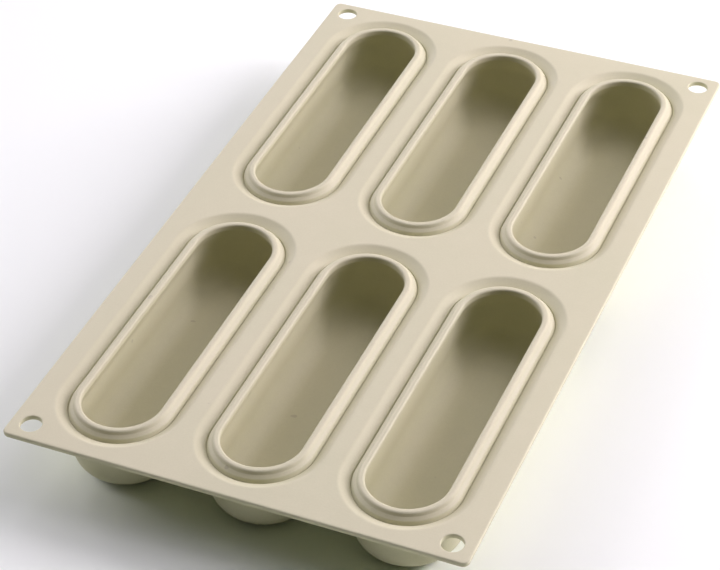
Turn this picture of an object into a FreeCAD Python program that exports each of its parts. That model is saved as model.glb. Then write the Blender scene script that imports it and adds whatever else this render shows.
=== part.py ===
"""Baguette tray: a flexible moulded sheet that carries six long round-ended cups.

Frame: X across the three columns of cups, Y along the cups, +Z up. The origin is the
centre of the footprint, at the level that the cups stand on. Lengths are in millimetres.

The tray is one silicone moulding. It is drawn as the regions that it is made of, which
meet face to face and never overlap:
  deck_sheet       the flat sheet, with a hole in each corner
  channel_rim_*    the drip channel around each cavity, with the raised lip inside it
  cup_*            the trough below each lip, wider than its mouth
"""
import FreeCAD
import Part
import math
import os

# Sheet
SHEET_WIDTH = 175.0
SHEET_LENGTH = 299.0
SHEET_THICKNESS = 2.0
SHEET_CORNER_RADIUS = 2.5
SHEET_EDGE_ROUND = 0.6
CORNER_HOLE_RADIUS = 4.0
CORNER_HOLE_SPACING_X = 159.0
CORNER_HOLE_SPACING_Y = 284.0

# Layout of the cavities
COLUMNS = ("left", "middle", "right")
ROWS = ("front", "rear")
COLUMN_PITCH = 54.7
ROW_PITCH = 147.2
END_CENTRES = 91.2          # between the centres of a cavity's two round ends

# Mouth, and the raised lip around it. Widths are outward from the mouth's edge.
MOUTH_HALF_WIDTH = 15.1
LIP_WIDTH = 2.2
LIP_HEIGHT = 1.0
LIP_INNER_ROUND = 0.8
LIP_OUTER_ROUND = 1.1
LIP_FOOT_WIDTH = 2.9
LIP_FOOT_DROP = 0.3
LIP_FOOT_ROUND = 0.6

# Drip channel around the lip, widths likewise: a flank falls from the lip to a narrow
# crease, and a slope climbs from the crease's outer edge to the sheet
FLANK_WIDTH = 4.15
FLANK_DROP = 1.3
FLANK_ROUND = 1.2
CREASE_WIDTH = 4.85         # to the crease's deepest line
CREASE_ROUND = 0.1
NOTCH_WIDTH = 0.3           # crease's deepest line to its outer edge
NOTCH_DROP = 0.8
CHANNEL_DEPTH = 2.35        # to the crease's outer edge
CHANNEL_ROUND = 0.15
SHOULDER_SLOPE = math.radians(31.5)
SHOULDER_ROUND = 2.5
RIM_WIDTH = 9.9             # to the joint between rim and sheet, on the flat

# Cup: the trough bulges below the lip
CUP_HALF_WIDTH = 18.4
CUP_DEPTH = 26.3            # sheet's top face to the trough's floor
CUP_FLOOR_ROUND = 8.4
THROAT_DROP = 1.4           # how far the mouth's wall goes straight down
THROAT_ROUND = 2.0
BULGE_DROP = 8.0
BULGE_ROUND = 10.0
CUP_WALL = 1.8
UNDERSIDE_ROUND = 3.0       # where the cup's wall turns out under the channel
RIM_TO_CUP_LEVEL = -9.0     # height, from the sheet's top, where rim and cup meet

CUP_OUTER_HALF_WIDTH = CUP_HALF_WIDTH + CUP_WALL
CUP_OUTER_DEPTH = CUP_DEPTH + CUP_WALL
RIM_OUTER = MOUTH_HALF_WIDTH + RIM_WIDTH
DECK_TOP = CUP_OUTER_DEPTH


def rounded_outline(corners):
    """Closed face in the XZ plane through corners (x, z, radius), each rounded by its radius."""
    count = len(corners)
    ends = []
    for index, (x, z, radius) in enumerate(corners):
        corner = FreeCAD.Vector(x, 0, z)
        before = FreeCAD.Vector(corners[index - 1][0], 0, corners[index - 1][1]) - corner
        after_x, after_z = corners[(index + 1) % count][:2]
        after = FreeCAD.Vector(after_x, 0, after_z) - corner
        if radius == 0:
            ends.append((corner, None, corner))
            continue
        before.normalize()
        after.normalize()
        half_angle = before.getAngle(after) / 2
        setback = radius / math.tan(half_angle)
        bisector = (before + after).normalize()
        centre = corner + bisector * (radius / math.sin(half_angle))
        ends.append((corner + before * setback, centre - bisector * radius, corner + after * setback))

    edges = []
    for index, (start, middle, end) in enumerate(ends):
        if middle is not None:
            edges.append(Part.Arc(start, middle, end).toShape())
        next_start = ends[(index + 1) % count][0]
        if (next_start - end).Length > 1e-6:
            edges.append(Part.makeLine(end, next_start))
    return Part.Face(Part.Wire(edges))


def pocket_section():
    """Half section of one pocket, from its middle plane out to the flat of the sheet."""
    crease = MOUTH_HALF_WIDTH + CREASE_WIDTH
    shoulder = crease + NOTCH_WIDTH + CHANNEL_DEPTH / math.tan(SHOULDER_SLOPE)
    underside_shoulder = shoulder + SHEET_THICKNESS * math.tan(SHOULDER_SLOPE / 2)
    underside_drop = (underside_shoulder - CUP_OUTER_HALF_WIDTH) * math.tan(SHOULDER_SLOPE)
    return rounded_outline([
        (RIM_OUTER, 0, 0),
        (shoulder, 0, SHOULDER_ROUND),
        (crease + NOTCH_WIDTH, -CHANNEL_DEPTH, CHANNEL_ROUND),
        (crease, -CHANNEL_DEPTH - NOTCH_DROP, CREASE_ROUND),
        (MOUTH_HALF_WIDTH + FLANK_WIDTH, -FLANK_DROP, FLANK_ROUND),
        (MOUTH_HALF_WIDTH + LIP_FOOT_WIDTH, -LIP_FOOT_DROP, LIP_FOOT_ROUND),
        (MOUTH_HALF_WIDTH + LIP_WIDTH, LIP_HEIGHT, LIP_OUTER_ROUND),
        (MOUTH_HALF_WIDTH, LIP_HEIGHT, LIP_INNER_ROUND),
        (MOUTH_HALF_WIDTH, -THROAT_DROP, THROAT_ROUND),
        (CUP_HALF_WIDTH, -BULGE_DROP, BULGE_ROUND),
        (CUP_HALF_WIDTH, -CUP_DEPTH, CUP_FLOOR_ROUND),
        (0, -CUP_DEPTH, 0),
        (0, -CUP_OUTER_DEPTH, 0),
        (CUP_OUTER_HALF_WIDTH, -CUP_OUTER_DEPTH, CUP_FLOOR_ROUND + CUP_WALL),
        (CUP_OUTER_HALF_WIDTH, -SHEET_THICKNESS - underside_drop, UNDERSIDE_ROUND),
        (underside_shoulder, -SHEET_THICKNESS, SHOULDER_ROUND - SHEET_THICKNESS),
        (RIM_OUTER, -SHEET_THICKNESS, 0),
    ])


def section_part(section, low, high):
    """The stretch of the section between two heights."""
    band = Part.makeBox(2 * RIM_OUTER, 2, high - low, FreeCAD.Vector(-RIM_OUTER / 2, -1, low))
    return section.common(band).Faces[0]


def round_ended_solid(section):
    """Carry a half section around a straight-sided, round-ended loop."""
    half_length = END_CENTRES / 2
    up = FreeCAD.Vector(0, 0, 1)
    solid = None
    for direction, turn in ((1, 0), (-1, 180)):
        side = section.copy()
        side.rotate(FreeCAD.Vector(), up, turn)
        side.translate(FreeCAD.Vector(0, -half_length, 0))
        straight = side.extrude(FreeCAD.Vector(0, END_CENTRES, 0))
        end = section.copy()
        end.rotate(FreeCAD.Vector(), up, turn)
        end.translate(FreeCAD.Vector(0, direction * half_length, 0))
        cap = end.revolve(FreeCAD.Vector(0, direction * half_length, 0), up, 180)
        for piece in (straight, cap):
            solid = piece if solid is None else solid.fuse(piece)
    return solid.removeSplitter()


def round_ended_prism(half_width, low, high):
    """Plain prism with the cavities' outline, for cutting the sheet."""
    return round_ended_solid(rounded_outline([
        (0, low, 0), (half_width, low, 0), (half_width, high, 0), (0, high, 0)]))


def cavity_centres():
    """Yield each cavity's name and its centre on the sheet's top face."""
    for row_index, row in enumerate(ROWS):
        for column_index, column in enumerate(COLUMNS):
            x = (column_index - 1) * COLUMN_PITCH
            y = (row_index - 0.5) * ROW_PITCH
            yield f"{row}_{column}", FreeCAD.Vector(x, y, DECK_TOP)


def deck_sheet():
    """Flat sheet with rounded edges, six round-ended openings and four corner holes."""
    sheet = Part.makeBox(
        SHEET_WIDTH, SHEET_LENGTH, SHEET_THICKNESS,
        FreeCAD.Vector(-SHEET_WIDTH / 2, -SHEET_LENGTH / 2, DECK_TOP - SHEET_THICKNESS))
    upright = [edge for edge in sheet.Edges if abs(edge.tangentAt(edge.FirstParameter).z) > 0.9]
    sheet = sheet.makeFillet(SHEET_CORNER_RADIUS, upright)
    flat = [edge for edge in sheet.Edges if abs(edge.tangentAt(edge.FirstParameter).z) < 0.1]
    sheet = sheet.makeFillet(SHEET_EDGE_ROUND, flat)

    opening = round_ended_prism(RIM_OUTER, -2 * SHEET_THICKNESS, SHEET_THICKNESS)
    for _, centre in cavity_centres():
        cutter = opening.copy()
        cutter.translate(centre)
        sheet = sheet.cut(cutter)
    for side in (-1, 1):
        for end in (-1, 1):
            base = FreeCAD.Vector(
                side * CORNER_HOLE_SPACING_X / 2, end * CORNER_HOLE_SPACING_Y / 2, 0)
            sheet = sheet.cut(Part.makeCylinder(CORNER_HOLE_RADIUS, 2 * DECK_TOP, base))
    return sheet


def export(shape, node):
    """Write one node's solid."""
    solid = shape.Solids[0]
    if len(shape.Solids) != 1 or not solid.isValid():
        raise ValueError(f"{node} is not one valid solid")
    solid.exportStep(f"parts/{node}.step")


def main():
    os.makedirs("parts", exist_ok=True)
    section = pocket_section()
    rim = round_ended_solid(section_part(section, RIM_TO_CUP_LEVEL, 2 * LIP_HEIGHT))
    cup = round_ended_solid(section_part(section, -2 * CUP_DEPTH, RIM_TO_CUP_LEVEL))
    export(deck_sheet(), "deck_sheet")
    for name, centre in cavity_centres():
        for node, shape in ((f"channel_rim_{name}", rim), (f"cup_{name}", cup)):
            placed = shape.copy()
            placed.translate(centre)
            export(placed, node)


main()
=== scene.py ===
"""Looks for the baguette tray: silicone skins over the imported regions, floor, light and camera.

Every length is in metres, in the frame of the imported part: X across the three columns of
cups, Y along the cups, +Z up, and the cups stand at z = 0. The tray is one moulding, so
its skins share the points where they meet, and one slow sag runs through all of them.
"""
import math

import bmesh
import bpy
import numpy as np
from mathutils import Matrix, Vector, geometry, noise


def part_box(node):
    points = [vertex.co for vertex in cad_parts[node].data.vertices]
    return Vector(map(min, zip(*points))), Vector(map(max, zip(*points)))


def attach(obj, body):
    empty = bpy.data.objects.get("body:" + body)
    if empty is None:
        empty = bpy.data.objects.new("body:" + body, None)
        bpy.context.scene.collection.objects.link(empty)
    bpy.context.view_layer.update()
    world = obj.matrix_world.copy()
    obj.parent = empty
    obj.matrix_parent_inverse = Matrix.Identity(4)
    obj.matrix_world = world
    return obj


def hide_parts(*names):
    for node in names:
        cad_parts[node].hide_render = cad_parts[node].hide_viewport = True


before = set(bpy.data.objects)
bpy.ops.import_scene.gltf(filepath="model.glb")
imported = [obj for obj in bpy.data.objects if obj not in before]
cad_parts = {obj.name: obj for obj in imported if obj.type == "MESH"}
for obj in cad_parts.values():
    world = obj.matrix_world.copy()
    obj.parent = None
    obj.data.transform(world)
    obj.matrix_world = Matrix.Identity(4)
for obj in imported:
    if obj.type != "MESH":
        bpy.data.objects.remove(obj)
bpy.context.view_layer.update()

MM = 0.001
COLUMNS = ("left", "middle", "right")
ROWS = ("front", "rear")
CAVITIES = [f"{row}_{column}" for row in ROWS for column in COLUMNS]

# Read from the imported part
SHEET_LOW, SHEET_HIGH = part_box("deck_sheet")
RIM_LOW, RIM_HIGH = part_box("channel_rim_front_left")
CUP_LOW, CUP_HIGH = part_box("cup_front_left")
DECK_TOP = SHEET_HIGH.z
SHEET_THICKNESS = SHEET_HIGH.z - SHEET_LOW.z
RIM_OUTER = (RIM_HIGH.x - RIM_LOW.x) / 2
END_OFFSET = (RIM_HIGH.y - RIM_LOW.y) / 2 - RIM_OUTER    # cavity's centre to a round end's centre
LIP_HEIGHT = RIM_HIGH.z - DECK_TOP
CUP_OUTER_HALF_WIDTH = (CUP_HIGH.x - CUP_LOW.x) / 2

# Section of a pocket, as the part has it
MOUTH_HALF_WIDTH = 15.1 * MM
LIP_WIDTH = 2.2 * MM
LIP_INNER_ROUND = 0.8 * MM
LIP_OUTER_ROUND = 1.1 * MM
LIP_FOOT_WIDTH = 2.9 * MM
LIP_FOOT_DROP = 0.3 * MM
LIP_FOOT_ROUND = 0.6 * MM
FLANK_WIDTH = 4.15 * MM
FLANK_DROP = 1.3 * MM
FLANK_ROUND = 1.2 * MM
CREASE_WIDTH = 4.85 * MM
CREASE_ROUND = 0.1 * MM
NOTCH_WIDTH = 0.3 * MM
NOTCH_DROP = 0.8 * MM
CHANNEL_DEPTH = 2.35 * MM
CHANNEL_ROUND = 0.15 * MM
SHOULDER_SLOPE = math.radians(31.5)
SHOULDER_ROUND = 2.5 * MM
THROAT_DROP = 1.4 * MM
THROAT_ROUND = 2.0 * MM
BULGE_DROP = 8.0 * MM
BULGE_ROUND = 10.0 * MM
CUP_FLOOR_ROUND = 8.4 * MM
CUP_WALL = 1.8 * MM
UNDERSIDE_ROUND = 3.0 * MM

# Sheet
SHEET_CORNER_RADIUS = 2.5 * MM
SHEET_EDGE_ROUND = 0.6 * MM
HOLE_RADIUS = 4.0 * MM
HOLE_EDGE_ROUND = 0.35 * MM
HOLE_OFFSET_X = 79.5 * MM
HOLE_OFFSET_Y = 142.0 * MM

# Sag of the soft sheet: it droops near its edge, and waves slowly all over
DROOP_DEPTH = 0.25 * MM
DROOP_START = 0.9           # share of the way from the middle to the edge
SAG_WAVE_DEPTH = 0.10 * MM
SAG_WAVE_SCALE_X = 18
SAG_WAVE_SCALE_Y = 14
SAG_WAVE_SEED = 3.7
SAG_REACH = 0.6             # share of a cup's depth over which the sag dies out

# Fineness of the skins
STRAIGHT_STEPS = 30
END_STEPS = 32
ARC_STEP = math.radians(8)
SHEET_GRID = 6 * MM
CORNER_STEPS = 8
SIDE_STEPS = 40
HOLE_STEPS = 48
EDGE_STEPS = 5
EDGE_SUPPORT = 0.5 * MM
MERGE_DISTANCE = 0.001 * MM
SHARP_ANGLE = math.radians(60)
TRIANGLE_TOLERANCE = 1e-7
CDT_INSIDE = 1              # the triangulation keeps only what lies inside the outer loop

# Silicone: colours are linear
SILICONE_WARM = (0.612, 0.594, 0.380)
SILICONE_COOL = (0.588, 0.582, 0.366)
SILICONE_PALE = (0.640, 0.624, 0.410)
SILICONE_DEEP = (0.435, 0.415, 0.255)
SPECK = (0.30, 0.26, 0.19)
SILICONE_IOR = 1.41
SILICONE_SPECULAR = 0.35
SMOOTHEST = 0.50
ROUGHEST = 0.62
PALE_SHARE = 0.35
DEEP_SHARE = 0.12
SPECK_SHARE = 0.3
CLOUD_SCALE = 22
MOTTLE_SCALE = 140
GRAIN_SCALE = 1400
WAVE_SCALE = 35
SPECK_SCALE = 260
WAVE_DEPTH = 0.25 * MM
MOTTLE_DEPTH = 0.05 * MM
GRAIN_DEPTH = 0.03 * MM
WAVE_STRENGTH = 0.5
MOTTLE_STRENGTH = 0.5
GRAIN_STRENGTH = 0.6

# Camera: place from the middle of the sheet's top face, turn in degrees
CAMERA_PLACE = (0.2715, -0.6427, 0.5493)
CAMERA_TURN = (50.695, 1.349, 22.872)
CAMERA_LENS = 115.38
CAMERA_SENSOR = 36
CAMERA_NEAR = 0.01

# Studio
FLOOR_HALF_SIZE = 6.0
FLOOR_COLOUR = (0.90, 0.96, 0.82)
FLOOR_ROUGHNESS = 0.9
WORLD_STRENGTH = 0.02

# Softboxes by name, azimuth and elevation in degrees, distance, width, power, colour
ROSE = (1.0, 0.90, 1.10)
NEUTRAL = (1.0, 0.935, 1.14)
SOFTBOXES = (
    ("key", 30, 30, 1.5, 0.8, 19.5, ROSE),
    ("key_top", 50, 60, 1.5, 1.4, 8.5, ROSE),
    ("back_right_low", 45, 10, 1.5, 0.45, 9.0, ROSE),
    ("back_left_low", 135, 10, 3.0, 0.9, 16, NEUTRAL),
    ("back", 130, 40, 3.0, 1.4, 14, NEUTRAL),
    ("left", 180, 32, 3.0, 1.4, 31, NEUTRAL),
    ("left_low", 180, 10, 3.0, 0.9, 11, NEUTRAL),
    ("left_top", 165, 68, 3.0, 2.4, 9, NEUTRAL),
)


def arc_points(start, centre, end):
    """Points from start to end round centre, by the shorter way, both ends included."""
    first, last = start - centre, end - centre
    sweep = math.atan2(first.x * last.y - first.y * last.x, first.dot(last))
    count = max(2, math.ceil(abs(sweep) / ARC_STEP))
    points = []
    for step in range(count + 1):
        turn = sweep * step / count
        cos, sin = math.cos(turn), math.sin(turn)
        points.append(centre + Vector((first.x * cos - first.y * sin, first.x * sin + first.y * cos)))
    return points


def rounded_path(corners):
    """Open path through corners (x, z, radius), each inner corner rounded by its radius."""
    path = [Vector(corners[0][:2])]
    for before, here, after in zip(corners, corners[1:], corners[2:]):
        corner = Vector(here[:2])
        radius = here[2]
        if radius == 0:
            path.append(corner)
            continue
        back = (Vector(before[:2]) - corner).normalized()
        ahead = (Vector(after[:2]) - corner).normalized()
        half_angle = back.angle(ahead) / 2
        setback = radius / math.tan(half_angle)
        centre = corner + (back + ahead).normalized() * (radius / math.sin(half_angle))
        path.extend(arc_points(corner + back * setback, centre, corner + ahead * setback))
    path.append(Vector(corners[-1][:2]))
    return path


def pocket_section():
    """Half section of a pocket: upper face inwards to the floor, then outwards underneath."""
    crease = MOUTH_HALF_WIDTH + CREASE_WIDTH
    shoulder = crease + NOTCH_WIDTH + CHANNEL_DEPTH / math.tan(SHOULDER_SLOPE)
    underside_shoulder = shoulder + SHEET_THICKNESS * math.tan(SHOULDER_SLOPE / 2)
    underside_drop = (underside_shoulder - CUP_OUTER_HALF_WIDTH) * math.tan(SHOULDER_SLOPE)
    cup_half_width = CUP_OUTER_HALF_WIDTH - CUP_WALL
    cup_depth = DECK_TOP - CUP_WALL
    return rounded_path([
        (RIM_OUTER, 0, 0),
        (shoulder, 0, SHOULDER_ROUND),
        (crease + NOTCH_WIDTH, -CHANNEL_DEPTH, CHANNEL_ROUND),
        (crease, -CHANNEL_DEPTH - NOTCH_DROP, CREASE_ROUND),
        (MOUTH_HALF_WIDTH + FLANK_WIDTH, -FLANK_DROP, FLANK_ROUND),
        (MOUTH_HALF_WIDTH + LIP_FOOT_WIDTH, -LIP_FOOT_DROP, LIP_FOOT_ROUND),
        (MOUTH_HALF_WIDTH + LIP_WIDTH, LIP_HEIGHT, LIP_OUTER_ROUND),
        (MOUTH_HALF_WIDTH, LIP_HEIGHT, LIP_INNER_ROUND),
        (MOUTH_HALF_WIDTH, -THROAT_DROP, THROAT_ROUND),
        (cup_half_width, -BULGE_DROP, BULGE_ROUND),
        (cup_half_width, -cup_depth, CUP_FLOOR_ROUND),
        (0, -cup_depth, 0),
        (0, -DECK_TOP, 0),
        (CUP_OUTER_HALF_WIDTH, -DECK_TOP, CUP_FLOOR_ROUND + CUP_WALL),
        (CUP_OUTER_HALF_WIDTH, -SHEET_THICKNESS - underside_drop, UNDERSIDE_ROUND),
        (underside_shoulder, -SHEET_THICKNESS, SHOULDER_ROUND - SHEET_THICKNESS),
        (RIM_OUTER, -SHEET_THICKNESS, 0),
    ])


def loop_points(half_width):
    """Points of a straight-sided, round-ended loop, anticlockwise, centred on the origin."""
    points = []
    for side in (1, -1):
        for step in range(STRAIGHT_STEPS):
            y = END_OFFSET * (2 * step / STRAIGHT_STEPS - 1)
            points.append(Vector((side * half_width, side * y)))
        for step in range(END_STEPS):
            angle = math.pi * step / END_STEPS
            x = half_width * math.cos(angle)
            y = END_OFFSET + half_width * math.sin(angle)
            points.append(Vector((side * x, side * y)))
    return points


def cavity_centre(name):
    low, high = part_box(f"channel_rim_{name}")
    return Vector(((low.x + high.x) / 2, (low.y + high.y) / 2))


def sag(x, y):
    """How far the soft sheet hangs below its true height at a point, in metres."""
    edge = max(abs(x) / SHEET_HIGH.x, abs(y) / SHEET_HIGH.y)
    droop = DROOP_DEPTH * max(0.0, (edge - DROOP_START) / (1 - DROOP_START)) ** 2
    spot = Vector((x * SAG_WAVE_SCALE_X, y * SAG_WAVE_SCALE_Y, SAG_WAVE_SEED))
    wave = SAG_WAVE_DEPTH * (1 + noise.noise(spot))
    return droop + wave


def add_mesh(name, verts, faces, material):
    """Closed skin with smooth faces, and sharp edges only at its cut walls."""
    mesh = bpy.data.meshes.new(name)
    mesh.from_pydata([tuple(v) for v in verts], [], faces)
    edit = bmesh.new()
    edit.from_mesh(mesh)
    bmesh.ops.remove_doubles(edit, verts=edit.verts, dist=MERGE_DISTANCE)
    bmesh.ops.recalc_face_normals(edit, faces=edit.faces)
    edit.to_mesh(mesh)
    edit.free()
    mesh.shade_smooth()
    mesh.set_sharp_from_angle(angle=SHARP_ANGLE)
    mesh.materials.append(material)
    piece = bpy.data.objects.new(name, mesh)
    bpy.context.scene.collection.objects.link(piece)
    return piece


def pocket(name, section, material):
    """Skin of one pocket: channel, lip and cup in one."""
    centre = cavity_centre(name)
    verts = []
    count = len(loop_points(1.0))
    for point in section:
        for spot in loop_points(point.x):
            x, y = centre + spot
            fall = sag(x, y) * min(1.0, max(0.0, 1 + point.y / (SAG_REACH * DECK_TOP)))
            verts.append((x, y, DECK_TOP + point.y - fall))
    rings = len(section)
    faces = []
    for ring in range(rings):
        below = (ring + 1) % rings
        if section[ring].x == section[below].x == 0:
            continue    # on the middle plane, inside the cup's floor
        upper, lower = ring * count, below * count
        for step in range(count):
            after = (step + 1) % count
            faces.append((upper + step, upper + after, lower + after, lower + step))
    return add_mesh(name, verts, faces, material)


def rounded_rectangle(half_x, half_y, radius):
    """Points of a rounded rectangle, anticlockwise, with steps along its straight sides too."""
    corners = ((1, 1), (-1, 1), (-1, -1), (1, -1))
    points = []
    for quarter, (side_x, side_y) in enumerate(corners):
        centre = Vector((side_x * (half_x - radius), side_y * (half_y - radius)))
        for step in range(CORNER_STEPS + 1):
            angle = math.pi / 2 * (quarter + step / CORNER_STEPS)
            points.append(centre + radius * Vector((math.cos(angle), math.sin(angle))))
        next_x, next_y = corners[(quarter + 1) % 4]
        target = Vector((next_x * (half_x - radius), next_y * (half_y - radius)))
        start, end = points[-1], points[-1] + target - centre
        points.extend(start.lerp(end, step / SIDE_STEPS) for step in range(1, SIDE_STEPS))
    return points


def circle(centre, radius):
    angles = [2 * math.pi * step / HOLE_STEPS for step in range(HOLE_STEPS)]
    return [centre + radius * Vector((math.cos(angle), math.sin(angle))) for angle in angles]


def edge_rings(edge_round):
    """(inset, height) of the rings that carry a rounded edge from the top face to the bottom."""
    upper = [(edge_round + EDGE_SUPPORT, 0)]
    for step in range(EDGE_STEPS + 1):
        angle = math.pi / 2 * step / EDGE_STEPS
        upper.append((edge_round * (1 - math.sin(angle)), -edge_round * (1 - math.cos(angle))))
    lower = [(inset, -SHEET_THICKNESS - height) for inset, height in reversed(upper)]
    return upper + lower


def flat_triangles(loops, inside):
    """Triangles that fill the sheet between its loops, fine enough to follow the sag."""
    points, edges = [], []
    for loop in loops:
        first = len(points)
        points.extend(loop)
        edges.extend((first + i, first + (i + 1) % len(loop)) for i in range(len(loop)))
    for x in np.arange(-SHEET_HIGH.x, SHEET_HIGH.x, SHEET_GRID):
        for y in np.arange(-SHEET_HIGH.y, SHEET_HIGH.y, SHEET_GRID):
            spot = Vector((float(x), float(y)))
            if inside(spot, SHEET_GRID / 2):
                points.append(spot)
    verts, _, faces, *_ = geometry.delaunay_2d_cdt(points, edges, [], CDT_INSIDE, TRIANGLE_TOLERANCE)
    kept = []
    for face in faces:
        middle = (verts[face[0]] + verts[face[1]] + verts[face[2]]) / 3
        if inside(middle, 0):
            kept.append(tuple(face))
    return verts, kept


def deck(material):
    """Skin of the flat sheet: two faces joined round the outside, the holes and the openings."""
    centres = [cavity_centre(name) for name in CAVITIES]
    holes = [
        Vector((x, y))
        for x in (-HOLE_OFFSET_X, HOLE_OFFSET_X)
        for y in (-HOLE_OFFSET_Y, HOLE_OFFSET_Y)]
    outside = edge_rings(SHEET_EDGE_ROUND)
    around_hole = edge_rings(HOLE_EDGE_ROUND)
    flat_x = SHEET_HIGH.x - outside[0][0]
    flat_y = SHEET_HIGH.y - outside[0][0]
    flat_hole = HOLE_RADIUS + around_hole[0][0]

    def inside(spot, margin):
        if abs(spot.x) > flat_x - margin or abs(spot.y) > flat_y - margin:
            return False
        if any((spot - hole).length < flat_hole + margin for hole in holes):
            return False
        for centre in centres:
            away = spot - centre
            along = max(-END_OFFSET, min(END_OFFSET, away.y))
            if (away - Vector((0, along))).length < RIM_OUTER + margin:
                return False
        return True

    def lift(spot, height):
        return (spot.x, spot.y, DECK_TOP + height - sag(spot.x, spot.y))

    def outer_loop(inset):
        return rounded_rectangle(
            SHEET_HIGH.x - inset, SHEET_HIGH.y - inset, SHEET_CORNER_RADIUS - inset)

    openings = [[centre + spot for spot in loop_points(RIM_OUTER)] for centre in centres]
    loops = [outer_loop(outside[0][0])]
    loops += [circle(hole, flat_hole) for hole in holes]
    loops += openings
    flat, triangles = flat_triangles(loops, inside)

    verts, faces = [], []
    for height in (0, -SHEET_THICKNESS):
        first = len(verts)
        verts.extend(lift(spot, height) for spot in flat)
        faces.extend(tuple(first + i for i in triangle) for triangle in triangles)

    walls = [[(outer_loop(inset), height) for inset, height in outside]]
    for hole in holes:
        walls.append([(circle(hole, HOLE_RADIUS + inset), height) for inset, height in around_hole])
    for opening in openings:
        walls.append([(opening, 0), (opening, -SHEET_THICKNESS)])
    for wall in walls:
        count = len(wall[0][0])
        first = len(verts)
        for loop, height in wall:
            verts.extend(lift(spot, height) for spot in loop)
        for ring in range(len(wall) - 1):
            for step in range(count):
                here = first + ring * count + step
                after = first + ring * count + (step + 1) % count
                faces.append((here, after, after + count, here + count))
    return add_mesh("tray_sheet", verts, faces, material)


def silicone():
    """Matt moulded silicone: cloudy colour, a fine grain, slow waves and a few specks of dust."""
    material = bpy.data.materials.new("matt_silicone")
    material.use_nodes = True
    tree = material.node_tree
    shader = tree.nodes["Principled BSDF"]
    shader.inputs["IOR"].default_value = SILICONE_IOR
    shader.inputs["Specular IOR Level"].default_value = SILICONE_SPECULAR
    place = tree.nodes.new("ShaderNodeTexCoord").outputs["Object"]

    def noise_at(scale, detail=3.0, roughness=0.5):
        node = tree.nodes.new("ShaderNodeTexNoise")
        node.inputs["Scale"].default_value = scale
        node.inputs["Detail"].default_value = detail
        node.inputs["Roughness"].default_value = roughness
        tree.links.new(place, node.inputs["Vector"])
        return node.outputs["Fac"]

    def spread(value, low, high, bottom, top):
        node = tree.nodes.new("ShaderNodeMapRange")
        node.inputs["From Min"].default_value = low
        node.inputs["From Max"].default_value = high
        node.inputs["To Min"].default_value = bottom
        node.inputs["To Max"].default_value = top
        tree.links.new(value, node.inputs["Value"])
        return node.outputs["Result"]

    def blend(share, first, second):
        node = tree.nodes.new("ShaderNodeMix")
        node.data_type = "RGBA"
        tree.links.new(share, node.inputs["Factor"])
        for socket, colour in ((node.inputs["A"], first), (node.inputs["B"], second)):
            if isinstance(colour, tuple):
                socket.default_value = (*colour, 1)
            else:
                tree.links.new(colour, socket)
        return node.outputs["Result"]

    cloud = noise_at(CLOUD_SCALE, detail=4.0)
    mottle = noise_at(MOTTLE_SCALE, detail=5.0, roughness=0.6)
    grain = noise_at(GRAIN_SCALE, detail=2.0)
    wave = noise_at(WAVE_SCALE, detail=1.0)
    speck = noise_at(SPECK_SCALE, detail=0.0)

    colour = blend(spread(cloud, 0.3, 0.7, 0, 1), SILICONE_WARM, SILICONE_COOL)
    colour = blend(spread(mottle, 0.35, 0.75, 0, PALE_SHARE), colour, SILICONE_PALE)
    colour = blend(spread(grain, 0.3, 0.8, 0, DEEP_SHARE), colour, SILICONE_DEEP)
    colour = blend(spread(speck, 0.87, 0.89, 0, SPECK_SHARE), colour, SPECK)
    tree.links.new(colour, shader.inputs["Base Color"])
    tree.links.new(spread(mottle, 0.3, 0.7, SMOOTHEST, ROUGHEST), shader.inputs["Roughness"])

    normal = None
    bumps = (
        (wave, WAVE_DEPTH, WAVE_STRENGTH),
        (mottle, MOTTLE_DEPTH, MOTTLE_STRENGTH),
        (grain, GRAIN_DEPTH, GRAIN_STRENGTH))
    for height, distance, strength in bumps:
        bump = tree.nodes.new("ShaderNodeBump")
        bump.inputs["Distance"].default_value = distance
        bump.inputs["Strength"].default_value = strength
        tree.links.new(height, bump.inputs["Height"])
        if normal is not None:
            tree.links.new(normal, bump.inputs["Normal"])
        normal = bump.outputs["Normal"]
    tree.links.new(normal, shader.inputs["Normal"])
    return material


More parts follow.
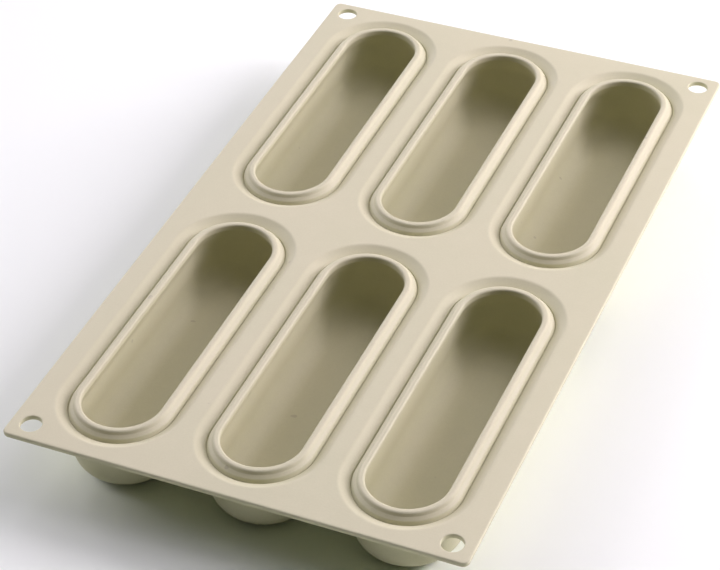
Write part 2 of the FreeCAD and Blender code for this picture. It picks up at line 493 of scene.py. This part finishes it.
def floor():
    """Plain pale floor, well past the view."""
    mesh = bpy.data.meshes.new("floor")
    corners = ((-1, -1), (1, -1), (1, 1), (-1, 1))
    verts = [(x * FLOOR_HALF_SIZE, y * FLOOR_HALF_SIZE, 0) for x, y in corners]
    mesh.from_pydata(verts, [], [(0, 1, 2, 3)])
    piece = bpy.data.objects.new("floor", mesh)
    bpy.context.scene.collection.objects.link(piece)
    material = bpy.data.materials.new("pale_floor")
    material.use_nodes = True
    shader = material.node_tree.nodes["Principled BSDF"]
    shader.inputs["Base Color"].default_value = (*FLOOR_COLOUR, 1)
    shader.inputs["Roughness"].default_value = FLOOR_ROUGHNESS
    mesh.materials.append(material)


def softbox(name, azimuth, elevation, distance, size, power, colour):
    """Round area light that faces the tray from a direction in degrees."""
    light = bpy.data.lights.new(name, "AREA")
    light.shape = "DISK"
    light.size = size
    light.energy = power
    light.color = colour
    turn, rise = math.radians(azimuth), math.radians(elevation)
    place = distance * Vector(
        (math.cos(turn) * math.cos(rise), math.sin(turn) * math.cos(rise), math.sin(rise)))
    lamp = bpy.data.objects.new(name, light)
    lamp.location = place
    lamp.rotation_euler = (-place).to_track_quat("-Z", "Y").to_euler()
    bpy.context.scene.collection.objects.link(lamp)


def camera():
    data = bpy.data.cameras.new("camera")
    data.lens = CAMERA_LENS
    data.sensor_width = CAMERA_SENSOR
    data.clip_start = CAMERA_NEAR
    view = bpy.data.objects.new("camera", data)
    view.location = Vector(CAMERA_PLACE) + Vector((0, 0, DECK_TOP))
    view.rotation_euler = [math.radians(angle) for angle in CAMERA_TURN]
    bpy.context.scene.collection.objects.link(view)
    bpy.context.scene.camera = view


def main():
    material = silicone()
    section = pocket_section()
    sheet = deck(material)
    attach(sheet, "root")
    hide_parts("deck_sheet")
    for name in CAVITIES:
        piece = pocket(name, section, material)
        piece.name = f"pocket_{name}"
        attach(piece, "root")
        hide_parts(f"channel_rim_{name}", f"cup_{name}")
    floor()
    camera()
    for details in SOFTBOXES:
        softbox(*details)
    world = bpy.data.worlds.new("studio")
    bpy.context.scene.world = world
    world.use_nodes = True
    background = world.node_tree.nodes["Background"]
    background.inputs["Color"].default_value = (1, 1, 1, 1)
    background.inputs["Strength"].default_value = WORLD_STRENGTH
    bpy.context.scene.view_settings.view_transform = "Standard"


main()
